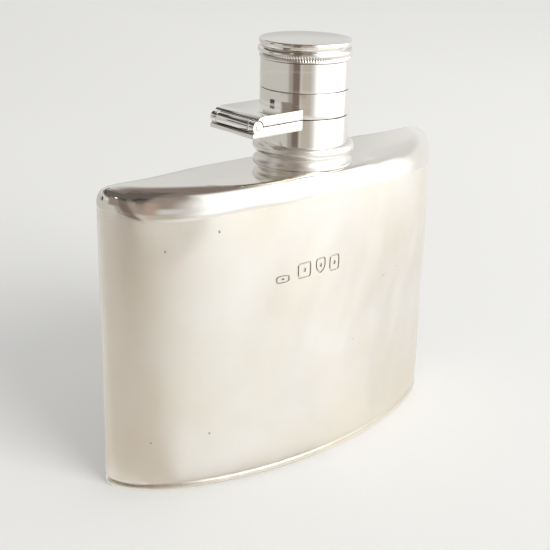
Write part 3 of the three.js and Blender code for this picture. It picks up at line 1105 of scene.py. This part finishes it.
class FLASK_OT_studio(bpy.types.Operator):
    """Build the paper sweep, the lights, what the silver reflects, and the camera"""

    bl_idname = "flask.studio"
    bl_label = "Studio"

    def execute(self, context):
        studio = context.scene.flask_studio
        context.scene.view_settings.view_transform = "Standard"
        self.camera(context)
        self.sweep(studio)
        self.sky(context, studio)
        self.window(context, studio)
        self.room()
        self.table(context.scene.flask_body)
        return {"FINISHED"}

    def camera(self, context):
        level = math.cos(CAMERA_RISE)
        back = Vector((-math.sin(CAMERA_TURN) * level, -math.cos(CAMERA_TURN) * level, math.sin(CAMERA_RISE)))
        right = Vector((math.cos(CAMERA_TURN), -math.sin(CAMERA_TURN), 0))
        above = back.cross(right)
        across = right * math.cos(CAMERA_ROLL) + above * math.sin(CAMERA_ROLL)
        upright = above * math.cos(CAMERA_ROLL) - right * math.sin(CAMERA_ROLL)
        camera = bpy.data.objects.new("camera", bpy.data.cameras.new("camera"))
        context.scene.collection.objects.link(camera)
        turn = Matrix((across, upright, back)).transposed().to_4x4()
        camera.matrix_world = Matrix.Translation(TARGET + back * CAMERA_DISTANCE) @ turn
        camera.data.lens = CAMERA_LENS
        camera.data.shift_x, camera.data.shift_y = CAMERA_SHIFT
        camera.data.clip_start = 0.01
        context.scene.camera = camera

    def sweep(self, studio):
        """A round paper floor whose rim curves up, with painted light and shade: a little darker towards -X
        and lighter towards +X.
        """
        bend, reach, rim_turn = 0.8, 2.6, math.radians(85)
        rim = [rim_turn * i / 12 for i in range(1, 13)]
        line = [(0, 0), (reach, 0), *[(reach + bend * math.sin(t), bend * (1 - math.cos(t))) for t in rim]]
        floor = object_from(spun(line, 96), "paper_sweep")
        floor.data.shade_smooth()
        paper = Nodes("sweep paper")
        # painted light and shade: the paper's colour runs from darker at -X to lighter at +X, for the light's
        # fall across it
        shade = paper.span(paper.along("X"), -0.12, 0.4)
        near, far = ([c * share for c in studio.floor] for share in (0.93, 1.04))
        paper.feed(paper.shader.inputs["Base Color"], paper.blend(shade, rgba(near), rgba(far)))
        paper.shader.inputs["Roughness"].default_value = 0.9
        paper.shader.inputs["Specular IOR Level"].default_value = 0.2
        floor.data.materials.append(paper.material)

    def sky(self, context, studio):
        world = bpy.data.worlds.new("studio sky")
        world.use_nodes = True
        context.scene.world = world
        background = world.node_tree.nodes["Background"]
        background.inputs["Color"].default_value = (1.0, 0.995, 0.985, 1.0)
        background.inputs["Strength"].default_value = studio.sky

    def window(self, context, studio):
        light = bpy.data.lights.new("window", "AREA")
        light.shape = "RECTANGLE"
        light.size, light.size_y = WINDOW_SIZE
        light.energy = studio.window
        light.color = (1.0, 0.995, 0.975)
        window = bpy.data.objects.new("window", light)
        context.scene.collection.objects.link(window)
        # the window is hidden from reflections; the dome paints its reflection instead
        window.visible_glossy = False
        turn = (WINDOW_PLACE - TARGET).to_track_quat("Z", "Y").to_matrix().to_4x4()
        window.matrix_world = Matrix.Translation(WINDOW_PLACE) @ turn

    def room(self):
        """A dome. It shows the silver a room: pale behind, dark and brown on the left, white on the right."""
        bm = bmesh.new()
        bmesh.ops.create_uvsphere(bm, u_segments=240, v_segments=120, radius=DOME_RADIUS)
        bmesh.ops.bisect_plane(
            bm, geom=bm.verts[:] + bm.edges[:] + bm.faces[:], dist=SAME,
            plane_co=(0, 0, MM), plane_no=(0, 0, 1), clear_inner=True)
        bmesh.ops.reverse_faces(bm, faces=bm.faces)
        centre = UP * AIM_HEIGHT
        reflected_only(bm, "room_dome", lambda place: (*room_tone(place, centre), 1.0))

    def table(self, body):
        """The table as the silver sees it: dim and beige left of the front, lit and pale right of it.

        It is shaded close to the flask, and like the room further out. Between these it lets the paper show.
        """
        height = 0.4 * MM
        line = [(DOME_RADIUS * (i / 64) ** 2, height) for i in range(3, 65)]
        left_corner = Vector((-0.84 * HALF_WIDTH, -8 * MM, 0))

        def tone_at(place):
            away = place - left_corner
            azimuth = math.degrees(math.atan2(away.y, away.x)) % 360
            dim = smooth(262, 215, azimuth) * smooth(110, 150, azimuth)
            around = math.degrees(math.atan2(place.y, place.x))
            lit = 0.75 * smooth(-85, -63, around) * smooth(-25, -48, around)
            pale = 0.8 * smooth(-50, -28, around) * smooth(45, 20, around)
            far = smooth(0.2, 0.27, place.length)
            seen = room_tone(place, UP * place.length * TABLE_FALL)
            near = DIM_TABLE.lerp(LIT_TABLE, lit).lerp(PALE_TABLE, pale)
            past_side = max(front_y(place.x, body) - place.y, place.y - BACK_END_Y)
            past_end = max(0.0, abs(place.x) - HALF_WIDTH)
            shaded = smooth(9 * MM, 1 * MM, past_side + past_end)
            near = near.lerp(DIM_TABLE.lerp(PALE_TABLE, smooth(-130, -75, around)), shaded)
            return (*near.lerp(seen, far), max(dim, lit, pale, far, 0.85 * shaded))

        reflected_only(spun(line, 180), "table_top", tone_at)


class FLASK_PT_panel(bpy.types.Panel):
    """Lists the flask's sizes, finishes and builders"""

    bl_label = "Silver Pocket Flask"
    bl_idname = "FLASK_PT_panel"
    bl_space_type = "VIEW_3D"
    bl_region_type = "UI"
    bl_category = "Flask"

    def draw(self, context):
        layout = self.layout
        for title, group in GROUPS.items():
            box = layout.box()
            box.label(text=title.replace("flask_", "").title())
            for prop in group.__annotations__:
                box.prop(getattr(context.scene, title), prop)
        for operator in BUILDERS:
            layout.operator(operator.bl_idname)


GROUPS = {
    "flask_body": FlaskBody,
    "flask_fittings": FlaskFittings,
    "flask_finish": FlaskFinish,
    "flask_studio": FlaskStudio,
}
BUILDERS = (
    FLASK_OT_studio,
    FLASK_OT_shells,
    FLASK_OT_plates,
    FLASK_OT_neck,
    FLASK_OT_hinge,
    FLASK_OT_cap,
    FLASK_OT_lock,
)


def register():
    for cls in (*GROUPS.values(), *BUILDERS, FLASK_PT_panel):
        bpy.utils.register_class(cls)
    for name, group in GROUPS.items():
        setattr(bpy.types.Scene, name, PointerProperty(type=group))


def unregister():
    for name in GROUPS:
        delattr(bpy.types.Scene, name)
    for cls in (FLASK_PT_panel, *reversed(BUILDERS), *reversed(GROUPS.values())):
        bpy.utils.unregister_class(cls)


def main():
    register()
    for builder in BUILDERS:
        group, action = builder.bl_idname.split(".")
        getattr(getattr(bpy.ops, group), action)()


if __name__ == "__main__":
    main()
